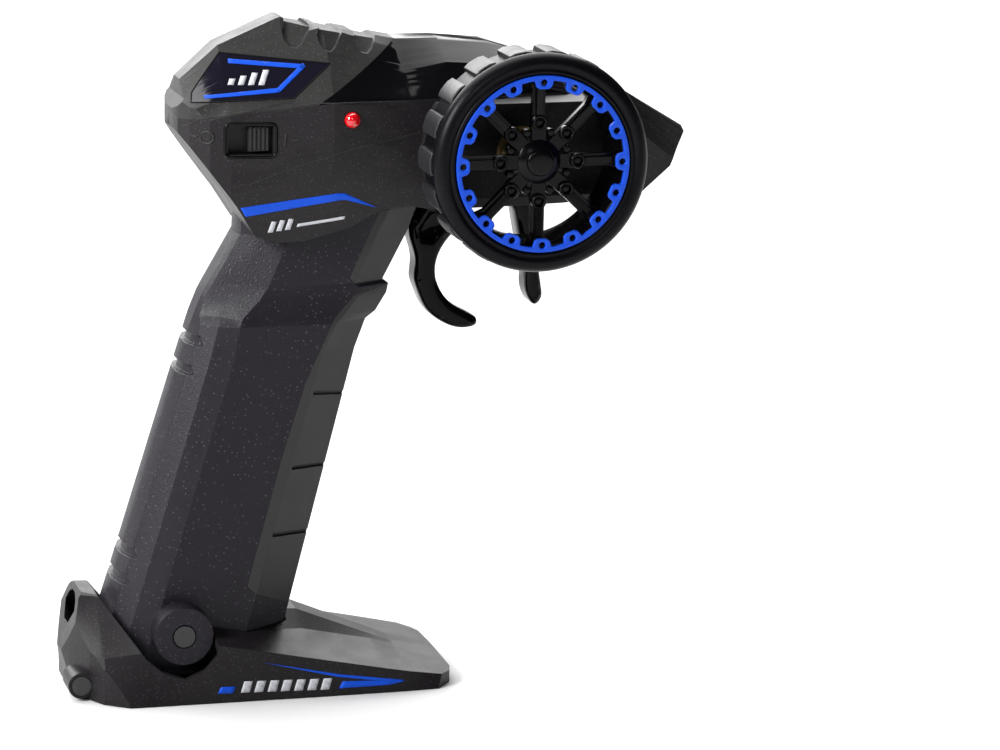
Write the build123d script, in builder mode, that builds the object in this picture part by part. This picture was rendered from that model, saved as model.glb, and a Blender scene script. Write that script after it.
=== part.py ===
from build123d import *
from math import cos, radians, sin
import os

# Pistol-grip radio transmitter with a steering wheel and a two-way trigger, in millimetres.
# +X is forward, +Y is the holder's left, +Z is up. The origin is on the underside of the base,
# in the parting plane of the housing (Y = 0).

os.makedirs("parts", exist_ok=True)

# ---- Driving dimensions -------------------------------------------------------------------
WALL = 2.0  # moulded wall thickness
SPAN = 60.0  # half length of a cut that goes right through the object sideways
FIT = 0.05  # radial clearance of a shaft in its bore

# Steering wheel: its axis runs along Y and sticks out on the right-hand side.
WHEEL_X = 60.9
WHEEL_Z = 141.4
WHEEL_FACE = -50.4  # outermost plane of the tyre
WHEEL_BACK = -31.0  # innermost plane of the tyre
SHOULDER_R = 27.7
TYRE_R = 26.4
LUG_R = 28.0
LUG_FRONT = -46.2
LUG_COUNT = 18
LUG_WIDE = 5.8
RIM_R = 22.4
RIM_BORE_R = 20.8
RIM_FACE = -49.2
HUB_R = 5.5
SPOKE_COUNT = 8
SPOKE_FACE = -46.4
SPOKE_BACK = -43.8
BOLT_CIRCLE_R = 10.0
RING_TABS = 16
RING_OUT_R = 22.3
RING_IN_R = 21.1
TAB_REACH_R = 18.9
SHAFT_R = 2.95
POD_R = 24.0
POD_FACE = -29.4
POD_FLOOR = 129.6
POD_TOP = 153.6
BUSH_R = 5.0

# Trigger
PIVOT_X = 50.0
PIVOT_Z = 131.0
PIN_R = 2.0
SLEEVE_R = 2.9
TRIGGER_HALF = 4.5
SLOT_HALF = 5.2

# Power switch and lamp on the right-hand side
SWITCH_X = -6.9
SWITCH_Z = 144.7
SWITCH_LONG = 11.6
SWITCH_HIGH = 7.4
SWITCH_TRAVEL = 4.4
LAMP_X = 18.6
LAMP_Z = 149.6
LAMP_R = 2.1

# Steering trim dial on the left-hand side
DIAL_X = 16.0
DIAL_Z = 143.5
DIAL_R = 7.5
DIAL_SEAT = 18.6
DIAL_TOP = 24.6
DIAL_SHAFT_R = 3.1

# Battery cells in the handle: the stack's axis leans forward from the floor of the base.
LEAN = 15.6
CELL_R = 7.15
CELL_LONG = 50.0
CELL_PITCH = 15.8
STACK_FOOT_X = -23.1
CELL_START = 13.0

# Base
PLATE = 1.8
KNUCKLE_X = -25.3
KNUCKLE_Z = 17.0
KNUCKLE_R = 7.6
KNUCKLE_FACE = 23.4
BOLT_SHANK_R = 1.5
BOLT_HEAD_R = 2.8
REAR_BOLT_X = -51.4
REAR_BOLT_Z = 4.0
REAR_BOLT_FACE = -18.4
REAR_BOLT_R = 2.5
REAR_BOSS_R = 3.4
DOOR_X = -24.0
DOOR_LONG = 42.0
DOOR_HALF = 11.0
DOOR_LIFT = 0.5
DOOR_THICK = 1.6
HINGE_X = -3.0
HINGE_Z = 2.5
HINGE_PIN_R = 0.7

# Housing screws as (x, z, y of the seat under the head), driven in from the left
HEAD_SCREWS = [(-8.0, 136.0, 10.0), (30.0, 132.5, 14.0), (84.0, 142.0, 10.0)]
GRIP_SCREWS = [(18.0, 113.0, 9.0), (-14.5, 84.0, 9.0)]
SCREW_HEAD_R = 2.6
SCREW_R = 1.3

# The crease is where the side walls meet the sloping top covers, as (x, z).
CREASE = [(-40.0, 147.6), (14.0, 154.0), (33.6, 154.2), (76.0, 154.2)]
COVER_SPLIT = [(10.0, 153.6), (33.6, 167.6)]

# Side outlines, as (x, z)
HEAD_SIDE = [
    (-24.2, 146.2),
    (-24.6, 151.4),
    (-22.4, 154.6),
    (-22.0, 185.0),
    (120.0, 185.0),
    (111.8, 142.3),
    (112.1, 140.6),
    (108.2, 131.8),
    (99.0, 125.0),
    (40.5, 125.0),
    (34.0, 126.4),
    (27.0, 125.4),
    (19.0, 121.0),
    (7.6, 117.8),
    (0.6, 117.4),
    (-5.2, 119.4),
    (-10.2, 127.4),
]
HEAD_PLAN = [
    (-24.7, 4.0),
    (-23.8, 9.0),
    (-21.6, 13.4),
    (-17.0, 16.8),
    (-8.0, 19.4),
    (8.0, 23.0),
    (120.0, 23.0),
]
BADGE = [(-21.0, 153.7), (-20.4, 156.0), (-12.4, 165.6), (14.6, 163.3), (4.2, 155.0)]
GRIP_FRONT_ZONE = [
    (45.0, 104.4),
    (30.8, 104.4),
    (21.5, 102.5),
    (16.0, 96.8),
    (8.2, 80.2),
    (1.7, 60.2),
    (-7.4, 27.5),
    (-4.8, 25.0),
    (8.0, 19.4),
    (40.0, 19.4),
]
NECK_FRONT_ZONE = [(45.0, 125.0), (28.3, 124.4), (20.4, 107.0), (21.8, 105.4), (45.0, 105.4)]
GRIP_SLOTS = [
    [(10.4, 77.1), (20.6, 75.6), (20.6, 76.5), (10.4, 78.3)],
    [(4.6, 57.7), (15.4, 56.9), (15.4, 57.9), (4.6, 58.9)],
    [(-0.6, 40.2), (10.6, 39.2), (10.6, 40.2), (-0.6, 41.4)],
]
SLOT_DEPTH = 1.0
REAR_NOTCHES = [(-20.4, 91.4), (-22.8, 83.9), (-37.9, 36.3), (-40.0, 29.4)]
NOTCH_HIGH = 2.6
NOTCH_DEPTH = 1.4
SCALLOP_PLACES = [(4.4, 166.6), (12.9, 165.8), (22.8, 164.8)]
SCALLOP_SHAPE = [
    (0.4, 12.0),
    (0.0, 5.6),
    (-0.7, 4.0),
    (-0.6, 2.0),
    (0.6, 0.4),
    (2.2, 0.0),
    (3.6, 1.0),
    (5.0, 3.0),
    (6.4, 4.8),
    (6.6, 12.0),
]
SCALLOP_DEPTH = 0.9
TRIGGER_SLOT = [
    (36.4, 110.0),
    (77.5, 110.0),
    (77.5, 128.0),
    (60.0, 136.0),
    (40.0, 136.0),
    (33.0, 124.0),
    (33.0, 112.0),
]
BASE_SIDE = [
    (-52.4, 0.0),
    (-53.2, 1.0),
    (-53.4, 6.0),
    (-54.2, 9.6),
    (-50.2, 24.4),
    (-49.2, 25.6),
    (-45.4, 25.0),
    (-35.2, 11.5),
    (-31.2, 8.2),
    (-25.3, 6.4),
    (-20.4, 8.6),
    (-17.2, 12.4),
    (-17.2, 30.0),
    (42.6, 30.0),
    (42.6, 10.0),
    (47.0, 2.6),
    (45.6, 0.0),
]
BASE_PLAN = [
    (-54.3, 3.0),
    (-52.9, 8.0),
    (-51.2, 12.6),
    (-49.2, 18.0),
    (-46.4, 23.0),
    (-40.0, 27.6),
    (40.6, 27.6),
    (45.6, 21.0),
    (47.5, 14.0),
]

# Head stations: x, then (half width, height) of ridge, shoulder, crease, brow and skirt
HEAD_STATIONS = [
    (-32.0, (4.4, 150.2), (9.4, 149.4), (14.2, 148.5), (14.2, 127.0), (11.0, 110.0)),
    (-12.6, (4.6, 167.2), (11.4, 159.1), (18.2, 150.9), (18.2, 130.6), (13.4, 110.0)),
    (3.4, (4.8, 174.0), (12.7, 163.4), (20.6, 152.8), (20.6, 139.6), (14.4, 110.0)),
    (14.0, (9.2, 171.7), (15.9, 162.9), (22.5, 154.0), (22.5, 144.0), (14.8, 110.0)),
    (33.6, (5.0, 167.6), (13.5, 160.9), (22.0, 154.2), (21.8, 145.8), (15.0, 110.0)),
    (45.0, (4.2, 167.4), (15.0, 162.6), (22.0, 154.2), (21.8, 146.0), (15.0, 110.0)),
    (58.0, (4.2, 166.2), (14.4, 161.6), (21.0, 154.2), (21.0, 146.0), (15.0, 110.0)),
    (76.0, (4.6, 160.4), (12.0, 157.8), (17.5, 154.2), (17.5, 147.0), (14.0, 110.0)),
    (95.0, (4.8, 152.4), (7.2, 148.6), (9.6, 144.7), (9.4, 142.2), (8.0, 110.0)),
    (112.6, (1.8, 141.6), (2.8, 141.0), (3.6, 140.4), (3.6, 139.0), (3.0, 110.0)),
]

# Handle stations: z, then (x, half width) of rear, two points round the rear corner, side's
# rear end, side's front end and front edge
GRIP_STATIONS = [
    (5.0, (-48.1, 3.5), (-46.4, 9.5), (-41.8, 14.4), (-36.0, 17.0), (-10.6, 17.0), (1.0, 9.5)),
    (20.0, (-43.3, 3.5), (-41.6, 9.5), (-37.0, 14.2), (-31.2, 16.8), (-6.5, 16.8), (4.9, 9.5)),
    (88.0, (-21.9, 3.5), (-20.3, 8.8), (-16.0, 12.8), (-10.2, 15.0), (12.5, 15.0), (22.4, 9.5)),
    (95.6, (-19.5, 3.5), (-18.1, 8.4), (-14.0, 12.4), (-8.8, 14.9), (16.4, 14.9), (25.3, 9.4)),
    (97.6, (-18.8, 3.5), (-17.9, 6.4), (-13.2, 10.2), (-8.0, 14.0), (18.6, 14.2), (28.0, 9.3)),
    (102.2, (-16.9, 3.5), (-16.2, 6.0), (-10.0, 9.6), (-3.4, 13.2), (22.4, 13.4), (30.9, 9.2)),
    (104.6, (-15.6, 3.5), (-14.9, 6.0), (-8.4, 9.5), (-1.6, 13.0), (22.6, 13.2), (31.4, 9.2)),
    (105.6, (-15.0, 3.5), (-14.3, 6.0), (-7.8, 9.4), (-0.9, 13.0), (21.6, 13.0), (29.8, 9.0)),
    (118.3, (-7.4, 3.5), (-6.9, 6.0), (-1.4, 9.4), (4.6, 12.6), (27.6, 12.6), (36.5, 9.0)),
    (127.0, (-7.0, 3.5), (-6.5, 6.0), (-1.0, 9.4), (5.4, 12.6), (32.0, 12.6), (39.6, 9.0)),
]
# How the six points move, in x and in half width, for each millimetre of wall
GRIP_DRAW = [(1.0, 0.0), (0.9, -0.45), (0.6, -0.8), (0.2, -1.0), (-0.25, -1.0), (-1.0, -0.5)]

# Base stations: x, then (half width, height) of ridge, top, edge and foot
BASE_STATIONS = [
    (-60.0, (3.2, 27.0), (4.6, 25.8), (9.0, 12.0), (20.0, 0.0)),
    (-46.0, (4.0, 26.2), (8.0, 24.8), (22.0, 12.0), (27.6, 0.0)),
    (-19.0, (9.0, 20.5), (20.0, 17.0), (27.0, 15.6), (27.6, 0.0)),
    (8.0, (5.0, 17.6), (11.5, 14.0), (27.0, 10.2), (27.6, 0.0)),
    (27.0, (4.4, 9.8), (7.0, 9.0), (26.8, 6.4), (27.4, 0.0)),
    (34.0, (4.0, 6.9), (7.0, 6.6), (26.4, 5.0), (27.2, 0.0)),
    (49.0, (4.0, 3.4), (7.0, 3.2), (24.0, 2.2), (26.0, 0.0)),
]

# Trigger outline, as (x, z): the hook, its tip, the arch inside the head and the front prong
HOOK_REAR = [
    (40.6, 122.0),
    (38.4, 116.0),
    (40.1, 108.7),
    (39.8, 104.0),
    (40.8, 100.7),
    (43.1, 95.9),
    (46.6, 92.8),
]
HOOK_TIP = [(52.0, 90.6), (55.8, 90.9), (56.8, 92.2), (56.1, 93.5)]
HOOK_FRONT = [
    (52.5, 95.5),
    (49.3, 97.7),
    (46.8, 101.0),
    (45.5, 105.1),
    (45.7, 108.5),
    (47.3, 112.4),
    (50.8, 116.4),
]
ARCH = [(53.0, 122.5), (55.5, 126.2), (63.5, 126.2), (66.6, 121.0), (68.2, 112.0)]
PRONG = [
    (69.6, 103.0),
    (70.7, 97.6),
    (72.4, 96.0),
    (74.0, 97.4),
    (74.2, 100.4),
    (72.6, 111.0),
    (71.8, 120.0),
]
HOOK_POCKET = [(41.2, 117.4), (43.8, 121.4), (46.6, 121.2), (47.6, 118.0), (44.0, 114.6), (42.2, 114.8)]
ARCH_TOP = [(71.2, 129.6), (66.0, 132.6), (54.0, 134.8), (48.0, 135.2), (43.0, 131.6)]


# ---- Helpers ------------------------------------------------------------------------------
def side_face(points, y=0.0):
    """A flat face parallel to the X-Z plane through the points."""
    with BuildSketch(Plane.XZ.offset(-y)) as outline:
        with BuildLine():
            Polyline(*points, close=True)
        make_face()
    return outline.sketch


def mirrored_face(plane, half_points):
    """A face on the plane, symmetric about its second axis, from (half width, height) points."""
    left = [(-reach, height) for reach, height in reversed(half_points)]
    with BuildSketch(plane) as outline:
        with BuildLine():
            Polyline(*half_points, *left, close=True)
        make_face()
    return outline.sketch


def plan_face(z, points):
    """A horizontal face, symmetric about the parting plane, from (x, half width) points."""
    left = [(x, reach) for x, reach in reversed(points)]
    with BuildSketch(Plane.XY.offset(z)) as outline:
        with BuildLine():
            Polyline(*[(x, -reach) for x, reach in points], *left, close=True)
        make_face()
    return outline.sketch


def slab(points, y_a=-SPAN, y_b=SPAN):
    """An X-Z outline given its thickness along Y, between two planes in either order."""
    y_low, y_high = sorted((y_a, y_b))
    with BuildPart() as plate:
        extrude(side_face(points, y_low), amount=y_low - y_high)
    return plate.part


def block(x_low, x_high, z_low, z_high, y_a=-SPAN, y_b=SPAN):
    """A rectangular block between six planes."""
    return slab([(x_low, z_low), (x_high, z_low), (x_high, z_high), (x_low, z_high)], y_a, y_b)


def bar(x, z, radius, y_a, y_b):
    """A round bar along Y, between two planes in either order."""
    y_low, y_high = sorted((y_a, y_b))
    with BuildPart() as rod:
        with BuildSketch(Plane.XZ.offset(-y_low)):
            with Locations((x, z)):
                Circle(radius)
        extrude(amount=y_low - y_high)
    return rod.part


def save(part, name):
    """Label a finished piece and write it."""
    part.label = name
    export_step(part, f"parts/{name}.step")


def half_side(side):
    """Which half a cut at the parting plane keeps: -1 is right, +1 is left."""
    return Keep.TOP if side < 0 else Keep.BOTTOM


SIDES = ((-1, "right"), (1, "left"))


# ---- Solid forms of the head, the handle and the base -------------------------------------
def head_form(inset):
    """The head's solid form, with every face moved inward by the inset."""
    faces = []
    for x, *half_points in HEAD_STATIONS:
        drawn_in = [(max(reach - inset, 0.4), height) for reach, height in half_points]
        drawn_in[0] = (drawn_in[0][0], half_points[0][1] - inset)
        faces.append(mirrored_face(Plane.YZ.offset(x), drawn_in))
    with BuildPart() as form:
        loft(sections=faces, ruled=True)
        with BuildSketch(Plane.XZ):
            add(side_face(HEAD_SIDE))
            if inset:
                offset(amount=-inset, kind=Kind.INTERSECTION)
        extrude(amount=SPAN, both=True, mode=Mode.INTERSECT)
        with BuildSketch(Plane.XY.offset(100.0)):
            add(plan_face(100.0, HEAD_PLAN))
            if inset:
                offset(amount=-inset, kind=Kind.INTERSECTION)
        extrude(amount=100.0, mode=Mode.INTERSECT)
    return form.part


def grip_form(inset):
    """The handle's solid form, with its side faces moved inward by the inset."""
    faces = []
    for z, *half_points in GRIP_STATIONS:
        moved = [
            (x + inset * draw_x, reach + inset * draw_reach)
            for (x, reach), (draw_x, draw_reach) in zip(half_points, GRIP_DRAW)
        ]
        faces.append(plan_face(z, moved))
    with BuildPart() as form:
        loft(sections=faces, ruled=True)
    return form.part


def base_form(inset):
    """The base's solid form, with its upper faces and sides moved inward by the inset."""
    faces = []
    for x, *half_points in BASE_STATIONS:
        drawn_in = [(reach - inset, max(height - inset, 0.2)) for reach, height in half_points[:-1]]
        drawn_in.append((half_points[-1][0] - inset, 0.0))
        faces.append(mirrored_face(Plane.YZ.offset(x), drawn_in))
    with BuildPart() as form:
        loft(sections=faces, ruled=True)
        with BuildSketch(Plane.XY):
            add(plan_face(0, BASE_PLAN))
            if inset:
                offset(amount=-inset, kind=Kind.INTERSECTION)
        extrude(amount=SPAN, mode=Mode.INTERSECT)
    return form.part


head_outside = head_form(0)
head_inside = head_form(WALL)
grip_outside = grip_form(0)
grip_inside = grip_form(WALL)
base_outside = base_form(0)
base_inside = base_form(WALL)


# ---- Top covers: everything above the crease, split by a slanting joint -------------------
above_crease = [*CREASE, (76.0, 190.0), (-40.0, 190.0)]
split_low, split_high = COVER_SPLIT
split_lean = (split_high[0] - split_low[0]) / (split_high[1] - split_low[1])
behind_split = [
    (split_low[0] - 10 * split_lean, split_low[1] - 10),
    (split_high[0] + 20 * split_lean, split_high[1] + 20),
    (-50.0, split_high[1] + 20),
    (-50.0, split_low[1] - 10),
]
BADGE_DEPTH = 0.9

with BuildPart() as top_wall:
    add(head_outside)
    add(head_inside, mode=Mode.SUBTRACT)
    extrude(side_face(above_crease), amount=SPAN, both=True, mode=Mode.INTERSECT)

badge_skin = {}
for side, hand in SIDES:
    with BuildPart() as badge_panel:
        add(slab(BADGE, side * 3.0, side * SPAN))
        add(head_outside, mode=Mode.INTERSECT)
        add(head_form(BADGE_DEPTH), mode=Mode.SUBTRACT)
    badge_skin[side] = badge_panel.part
    save(badge_panel.part, f"badge_panel_{hand}")

with BuildPart() as scallops:
    add(head_outside)
    add(head_form(SCALLOP_DEPTH), mode=Mode.SUBTRACT)
    with BuildSketch(Plane.XZ):
        for place_x, place_z in SCALLOP_PLACES:
            add(side_face([(place_x + x, place_z + z) for x, z in SCALLOP_SHAPE]))
    extrude(amount=SPAN, both=True, mode=Mode.INTERSECT)

with BuildPart() as top_cover:
    add(top_wall.part)
    add(scallops.part, mode=Mode.SUBTRACT)
    extrude(side_face(behind_split), amount=SPAN, both=True, mode=Mode.INTERSECT)
    add(badge_skin.values(), mode=Mode.SUBTRACT)
save(top_cover.part, "top_cover")

with BuildPart() as bridge_cover:
    add(top_wall.part)
    extrude(side_face(behind_split), amount=SPAN, both=True, mode=Mode.SUBTRACT)
save(bridge_cover.part, "bridge_cover")


# ---- Head shells --------------------------------------------------------------------------
def screw_posts(screws, outside, side, radius):
    """Round posts from the parting plane out to the wall, one for each housing screw."""
    with BuildPart() as posts:
        for x, z, _ in screws:
            add(bar(x, z, radius, 0.0, side * SPAN))
        add(outside, mode=Mode.INTERSECT)
    return posts.part


def screw_holes(screws, side):
    """The screws' holes: a head well and clearance on the left, a tight hole on the right."""
    with BuildPart() as holes:
        for x, z, seat in screws:
            if side > 0:
                add(bar(x, z, SCREW_HEAD_R + 0.2, seat, SPAN))
                add(bar(x, z, SCREW_R + 0.2, -1.0, seat))
            else:
                add(bar(x, z, SCREW_R, -9.0, 0.0))
    return holes.part


# Sensors: round bodies with two ears, each ear resting on a moulded post.
SENSOR_R = 8.0
STEER_SENSOR_EAR = 16.4
THROTTLE_SENSOR_EAR = 10.2
EAR_REACH = 10.6

# Main circuit board, upright beside the parting plane
BOARD_LOW = 137.6
BOARD_HIGH = 162.0
BOARD_REAR = -4.0
BOARD_FRONT = 36.0
BOARD_FACE = 2.0
BOARD_THICK = 1.6
BOARD_POSTS = (1.0, 33.0)
CHIPS = ((6.0, 148.0, 9.0, 9.0, 1.6), (24.0, 143.5, 7.0, 7.0, 1.4), (9.5, 157.0, 4.0, 2.0, 2.6))


def sensor_posts(x, z, ear_y, wall_y):
    """The two moulded posts that a sensor's ears rest on."""
    with BuildPart() as posts:
        for reach in (-EAR_REACH, EAR_REACH):
            add(bar(x + reach, z, 1.7, ear_y, wall_y))
    return posts.part


with BuildPart() as pod:
    add(bar(WHEEL_X, WHEEL_Z, POD_R, POD_FACE, -10.0))
    add(block(-SPAN, 2 * SPAN, POD_FLOOR, POD_TOP), mode=Mode.INTERSECT)
with BuildPart() as pod_hollow:
    add(bar(WHEEL_X, WHEEL_Z, POD_R - WALL, POD_FACE + WALL, -8.0))
    add(block(-SPAN, 2 * SPAN, POD_FLOOR + WALL, POD_TOP - WALL), mode=Mode.INTERSECT)

switch_window = block(
    SWITCH_X - SWITCH_LONG / 2,
    SWITCH_X + SWITCH_LONG / 2,
    SWITCH_Z - SWITCH_HIGH / 2,
    SWITCH_Z + SWITCH_HIGH / 2,
    -SPAN,
    -12.0,
)

for side, hand in SIDES:
    with BuildPart() as head_shell:
        add(head_outside)
        if side < 0:
            add(pod.part)
        add(head_inside, mode=Mode.SUBTRACT)
        if side < 0:
            add(pod_hollow.part, mode=Mode.SUBTRACT)
            add(sensor_posts(WHEEL_X, WHEEL_Z, -STEER_SENSOR_EAR, POD_FACE + 1.0))
        else:
            add(sensor_posts(PIVOT_X, PIVOT_Z, THROTTLE_SENSOR_EAR, 17.5))
            add(bar(DIAL_X, DIAL_Z, DIAL_R + 2.4, DIAL_SEAT - WALL, 21.5))
            for x in BOARD_POSTS:
                add(bar(x, BOARD_LOW + 3.0, 2.0, BOARD_FACE, 19.0))
        add(screw_posts(HEAD_SCREWS, head_outside, side, 3.4))
        add(bar(PIVOT_X, PIVOT_Z, 4.2, side * 11.0, side * 17.5))
        add(slab(TRIGGER_SLOT, -SLOT_HALF, SLOT_HALF), mode=Mode.SUBTRACT)
        add(grip_outside, mode=Mode.SUBTRACT)
        extrude(side_face(above_crease), amount=SPAN, both=True, mode=Mode.SUBTRACT)
        split(bisect_by=Plane.XZ, keep=half_side(side))
        add(screw_holes(HEAD_SCREWS, side), mode=Mode.SUBTRACT)
        add(bar(PIVOT_X, PIVOT_Z, PIN_R, 0.0, side * 15.5), mode=Mode.SUBTRACT)
        if side < 0:
            add(bar(WHEEL_X, WHEEL_Z, BUSH_R, -SPAN, -10.0), mode=Mode.SUBTRACT)
            add(bar(LAMP_X, LAMP_Z, LAMP_R, -SPAN, -15.0), mode=Mode.SUBTRACT)
            add(switch_window, mode=Mode.SUBTRACT)
        else:
            add(bar(DIAL_X, DIAL_Z, DIAL_SHAFT_R + 0.05, 12.0, SPAN), mode=Mode.SUBTRACT)
            add(bar(DIAL_X, DIAL_Z, DIAL_R + 0.6, DIAL_SEAT, SPAN), mode=Mode.SUBTRACT)
    save(head_shell.part, f"head_shell_{hand}")


# ---- Handle -------------------------------------------------------------------------------
def along_stack(distance, across=0.0):
    """The (x, z) point that far up the battery stack's leaning axis and across it."""
    lean = radians(LEAN)
    x = STACK_FOOT_X + distance * sin(lean) + across * cos(lean)
    z = distance * cos(lean) - across * sin(lean)
    return (x, z)


def stack_plane(distance, across=0.0):
    """A drawing plane square to the battery stack's axis; its first axis is the depth."""
    lean = radians(LEAN)
    x, z = along_stack(distance, across)
    return Plane(origin=(x, 0, z), x_dir=(cos(lean), 0, -sin(lean)), z_dir=(sin(lean), 0, cos(lean)))


with BuildPart() as grip_wall:
    add(grip_outside)
    add(grip_inside, mode=Mode.SUBTRACT)

with BuildPart() as grip_slots:
    for outline in GRIP_SLOTS:
        for side in (-1, 1):
            add(slab(outline, side * 9.0, side * SPAN))
    add(grip_form(SLOT_DEPTH), mode=Mode.SUBTRACT)

with BuildPart() as rear_notches:
    for x, z in REAR_NOTCHES:
        add(block(x - 8.0, x + 2.6, z - NOTCH_HIGH / 2, z + NOTCH_HIGH / 2))
    add(grip_form(NOTCH_DEPTH), mode=Mode.SUBTRACT)

with BuildPart() as neck_front_cover:
    add(grip_wall.part)
    extrude(side_face(NECK_FRONT_ZONE), amount=SPAN, both=True, mode=Mode.INTERSECT)
    add(slab(TRIGGER_SLOT, -SLOT_HALF, SLOT_HALF), mode=Mode.SUBTRACT)
save(neck_front_cover.part, "neck_front_cover")

with BuildPart() as grip_front_cover:
    add(grip_wall.part)
    extrude(side_face(GRIP_FRONT_ZONE), amount=SPAN, both=True, mode=Mode.INTERSECT)
    add(grip_slots.part, mode=Mode.SUBTRACT)
save(grip_front_cover.part, "grip_front_cover")

for side, hand in SIDES:
    with BuildPart() as grip_shell:
        add(grip_wall.part)
        extrude(side_face(NECK_FRONT_ZONE), amount=SPAN, both=True, mode=Mode.SUBTRACT)
        extrude(side_face(GRIP_FRONT_ZONE), amount=SPAN, both=True, mode=Mode.SUBTRACT)
        add(screw_posts(GRIP_SCREWS, grip_outside, side, 3.0))
        add(slab(TRIGGER_SLOT, -SLOT_HALF, SLOT_HALF), mode=Mode.SUBTRACT)
        add(rear_notches.part, mode=Mode.SUBTRACT)
        add(bar(KNUCKLE_X, KNUCKLE_Z, KNUCKLE_R, side * 15.5, side * KNUCKLE_FACE))
        split(bisect_by=Plane.XZ, keep=half_side(side))
        add(screw_holes(GRIP_SCREWS, side), mode=Mode.SUBTRACT)
        add(bar(KNUCKLE_X, KNUCKLE_Z, BOLT_SHANK_R, side * 14.0, side * SPAN), mode=Mode.SUBTRACT)
        seat = side * (KNUCKLE_FACE - 1.4)
        add(bar(KNUCKLE_X, KNUCKLE_Z, BOLT_HEAD_R + 0.3, seat, side * SPAN), mode=Mode.SUBTRACT)
    save(grip_shell.part, f"grip_shell_{hand}")


# ---- Base ---------------------------------------------------------------------------------
door_opening = block(
    DOOR_X - DOOR_LONG / 2 - 0.3, HINGE_X + 2.2, -1.0, 8.0, -DOOR_HALF - 0.3, DOOR_HALF + 0.3
)
with BuildPart() as base_plate:
    with BuildSketch(Plane.XY):
        add(plan_face(0, BASE_PLAN))
        offset(amount=-WALL - 1.0, kind=Kind.INTERSECTION)
    extrude(amount=PLATE)
    add(block(-SPAN, 33.0, -1.0, 10.0), mode=Mode.INTERSECT)
    for side in (-1, 1):
        add(block(HINGE_X - 2.0, HINGE_X + 2.0, 1.0, HINGE_Z + 1.7, side * 11.0, side * 14.0))
    add(door_opening, mode=Mode.SUBTRACT)
    for side in (-1, 1):
        add(bar(HINGE_X, HINGE_Z, HINGE_PIN_R + 0.05, side * 8.0, side * 13.2), mode=Mode.SUBTRACT)
save(base_plate.part, "base_plate")

for side, hand in SIDES:
    with BuildPart() as base_shell:
        add(base_outside)
        add(base_inside, mode=Mode.SUBTRACT)
        extrude(side_face(BASE_SIDE), amount=SPAN, both=True, mode=Mode.INTERSECT)
        add(grip_form(-0.5), mode=Mode.SUBTRACT)
        if side < 0:
            add(bar(REAR_BOLT_X, REAR_BOLT_Z, REAR_BOSS_R, -9.0, REAR_BOLT_FACE))
        add(base_plate.part, mode=Mode.SUBTRACT)
        split(bisect_by=Plane.XZ, keep=half_side(side))
        if side < 0:
            seat = REAR_BOLT_FACE + 1.2
            add(bar(REAR_BOLT_X, REAR_BOLT_Z, BOLT_SHANK_R, -11.5, seat), mode=Mode.SUBTRACT)
            add(bar(REAR_BOLT_X, REAR_BOLT_Z, REAR_BOLT_R + 0.1, seat, -SPAN), mode=Mode.SUBTRACT)
    save(base_shell.part, f"base_shell_{hand}")


# ---- Battery compartment ------------------------------------------------------------------
CELL_SPOTS = (-CELL_PITCH / 2, CELL_PITCH / 2)
BAY_R = CELL_R + 0.45

with BuildPart() as battery_bay:
    with BuildSketch(stack_plane(CELL_START - 1.0)):
        with Locations(*[(spot, 0) for spot in CELL_SPOTS]):
            Circle(BAY_R + 1.2)
        Rectangle(CELL_PITCH, 2 * BAY_R)
    extrude(amount=CELL_LONG + 4.0)
    with BuildSketch(stack_plane(CELL_START - 1.0)):
        with Locations(*[(spot, 0) for spot in CELL_SPOTS]):
            Circle(BAY_R)
    extrude(amount=CELL_LONG + 2.8, mode=Mode.SUBTRACT)
save(battery_bay.part, "battery_bay")

with BuildPart() as battery_cells:
    with BuildSketch(stack_plane(CELL_START)):
        with Locations(*[(spot, 0) for spot in CELL_SPOTS]):
            Circle(CELL_R)
    extrude(amount=CELL_LONG - 1.0)
    with BuildSketch(stack_plane(CELL_START + CELL_LONG - 1.0)):
        with Locations(*[(spot, 0) for spot in CELL_SPOTS]):
            Circle(2.6)
    extrude(amount=1.0)
save(battery_cells.part, "battery_cells")

with BuildPart() as terminal_plates:
    with BuildSketch(stack_plane(CELL_START + CELL_LONG)):
        with Locations(*[(spot, 0) for spot in CELL_SPOTS]):
            RectangleRounded(8.0, 8.0, 1.5)
    extrude(amount=0.6)
save(terminal_plates.part, "terminal_plates")

with BuildPart() as battery_door:
    door_top = DOOR_LIFT + DOOR_THICK
    add(block(DOOR_X - DOOR_LONG / 2, HINGE_X - 0.4, DOOR_LIFT, door_top, -DOOR_HALF, DOOR_HALF))
    for side in (-1, 1):
        add(bar(HINGE_X, HINGE_Z, 1.5, side * 8.5, side * DOOR_HALF))
        add(bar(HINGE_X, HINGE_Z, HINGE_PIN_R, side * 8.5, side * 13.0))
        add(block(HINGE_X - 2.5, HINGE_X, 1.2, HINGE_Z, side * 8.5, side * DOOR_HALF))
save(battery_door.part, "battery_door")

with BuildPart() as bridge_contact:
    add(block(-36.0, -9.0, DOOR_LIFT + DOOR_THICK, DOOR_LIFT + DOOR_THICK + 0.5, -4.0, 4.0))
save(bridge_contact.part, "bridge_contact")


def coil(foot, direction, radius, wire_r, pitch, length):
    """A coil spring that starts round the foot point and runs along the direction."""
    with BuildPart() as spring:
        with BuildLine():
            turns = Helix(pitch=pitch, height=length, radius=radius, center=foot, direction=direction)
        with BuildSketch(Plane(origin=turns @ 0, z_dir=turns % 0)):
            Circle(wire_r)
        sweep(is_frenet=True)
    return spring.part


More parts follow.
